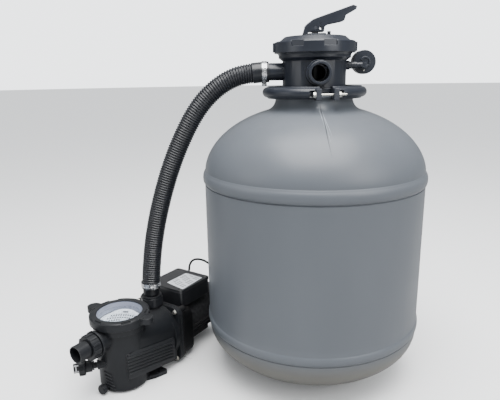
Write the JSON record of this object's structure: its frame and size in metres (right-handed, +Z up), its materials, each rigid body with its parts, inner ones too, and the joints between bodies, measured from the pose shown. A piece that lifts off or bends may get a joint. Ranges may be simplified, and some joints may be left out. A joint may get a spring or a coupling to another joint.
{
  "type": "pool filter pump set",
  "caption": "Top-mount sand filter tank with a multiport valve, a corrugated hose and a self-priming strainer pump on its mains lead.",
  "frame": {"origin": "centre of the tank's foot on the floor", "axes": "+Z up; -Y towards the operator, roughly out of the valve's open return port; the pump stands on the -X side"},
  "size_m": [0.8391, 0.6411, 0.9103],
  "materials": {
    "tank_grey": "satin blow-moulded polyethylene",
    "casing_black": "satin moulded ABS",
    "pump_black": "satin glass-filled polypropylene",
    "motor_black": "matt black paint",
    "rubber_black": "matt",
    "hose_black": "satin flexible polyethylene",
    "stainless": "polished stainless",
    "steel_laminations": "laminated steel",
    "white_plastic": "natural white polypropylene",
    "clear_plastic": "clear polycarbonate",
    "filled_plastic": "glass-filled polyamide",
    "ceramic": "polished ceramic",
    "needle_red": "satin red paint"
  },
  "bodies": {
    "filter_set": {"bearings": "stainless", "box_lid_screws": "stainless", "cable_coil": "rubber_black", "cable_gland": "pump_black", "capacitor": "white_plastic", "clamp_fasteners": "stainless", "clamp_halves": "casing_black", "cock_body": "pump_black", "cover_lock_ring": "casing_black", "diffuser": "filled_plastic", "fan_cover": "pump_black", "filter_hose": "hose_black", "flange_bolts": "stainless", "gauge_case": "casing_black", "gauge_dial": "white_plastic", "gauge_lens": "clear_plastic", "hose_clamp_bands": "stainless", "hose_clamp_screws": "stainless", "housing_gasket": "rubber_black", "lateral_hub": "white_plastic", "laterals": "white_plastic", "mains_cable": "rubber_black", "mains_plug": "rubber_black", "motor_bracket": "pump_black", "motor_housing": "motor_black", "motor_stator": "steel_laminations", "outlet_tail": "pump_black", "pump_housing": "pump_black", "seal_plate": "pump_black", "shaft_seal": "ceramic", "spider_gasket": "rubber_black", "standpipe": "white_plastic", "suction_tail": "pump_black", "tank_base": "casing_black", "tank_shell": "tank_grey", "terminal_box": "pump_black", "terminal_box_lid": "pump_black", "union_seals": "rubber_black", "valve_body": "casing_black", "valve_cover": "casing_black", "valve_seals": "rubber_black"},
    "shaft": {"motor_shaft": "stainless", "motor_rotor": "steel_laminations", "impeller": "filled_plastic", "cooling_fan": "filled_plastic"},
    "lid": {"strainer_lid": "clear_plastic", "lid_oring": "rubber_black"},
    "lid_ring": {"lid_lock_ring": "pump_black"},
    "basket": {"strainer_basket": "white_plastic"},
    "suction_nut": {"suction_union_nut": "pump_black"},
    "outlet_nut": {"outlet_union_nut": "pump_black"},
    "pump_drain": {"drain_plug": "pump_black"},
    "cock": {"cock_knob": "pump_black"},
    "tank_drain": {"tank_drain_cap": "casing_black"},
    "selector": {"index_plate": "casing_black", "rotor_spring": "stainless"},
    "rotor": {"valve_rotor": "filled_plastic", "handle_pin": "stainless"},
    "handle": {"selector_handle": "casing_black"},
    "needle": {"gauge_needle": "needle_red"}
  },
  "joints": [
    {"name": "shaft_spin", "type": "hinge", "parent": "filter_set", "child": "shaft", "pos_m": [-0.38233, 0.01576, 0.085], "axis": [0.4384, 0.8988, 0], "continuous": true},
    {"name": "lid_lift", "type": "slide", "parent": "filter_set", "child": "lid", "axis": [0, 0, 1], "range_m": [0, 0.28]},
    {"name": "lid_ring_turn", "type": "hinge", "parent": "lid", "child": "lid_ring", "pos_m": [-0.47, -0.164, 0.185], "axis": [0, 0, 1], "range_deg": [0, 50]},
    {"name": "basket_lift", "type": "slide", "parent": "filter_set", "child": "basket", "axis": [0, 0, 1], "range_m": [0, 0.14]},
    {"name": "suction_nut_turn", "type": "hinge", "parent": "filter_set", "child": "suction_nut", "pos_m": [-0.51165, -0.24938, 0.143], "axis": [-0.4384, -0.8988, 0], "range_deg": [0, 180]},
    {"name": "outlet_nut_turn", "type": "hinge", "parent": "filter_set", "child": "outlet_nut", "pos_m": [-0.4209, -0.06334, 0.18], "axis": [0, 0, 1], "range_deg": [0, 180]},
    {"name": "drain_plug_turn", "type": "hinge", "parent": "filter_set", "child": "pump_drain", "pos_m": [-0.49893, -0.22332, 0.015], "axis": [-0.4384, -0.8988, 0], "range_deg": [0, 180]},
    {"name": "cock_turn", "type": "hinge", "parent": "filter_set", "child": "cock", "pos_m": [-0.54205, -0.23548, 0.078], "axis": [-0.9135, -0.4067, 0], "range_deg": [0, 90]},
    {"name": "tank_drain_turn", "type": "hinge", "parent": "filter_set", "child": "tank_drain", "pos_m": [-0.20976, -0.03699, 0.03], "axis": [-0.9848, -0.1736, 0], "range_deg": [0, 180]},
    {"name": "selector_turn", "type": "hinge", "parent": "filter_set", "child": "selector", "pos_m": [0, 0, 0.845], "axis": [0, 0, 1], "continuous": true},
    {"name": "rotor_lift", "type": "slide", "parent": "selector", "child": "rotor", "axis": [0, 0, 1], "range_m": [0, 0.006], "deforming": ["rotor_spring"]},
    {"name": "handle_press", "type": "hinge", "parent": "rotor", "child": "handle", "pos_m": [0, 0, 0.862], "axis": [-0.1219, 0.9925, 0], "range_deg": [0, 25]},
    {"name": "gauge_sweep", "type": "hinge", "parent": "filter_set", "child": "needle", "pos_m": [0.11616, 0.03038, 0.783], "axis": [-0.1219, 0.9925, 0], "range_deg": [-270, 0]}
  ],
  "couplings": [
    {"joint": "basket_lift", "follows": "lid_lift", "ratio": 0.5},
    {"joint": "rotor_lift", "follows": "handle_press", "m_per_rad": 0.013724}
  ]
}
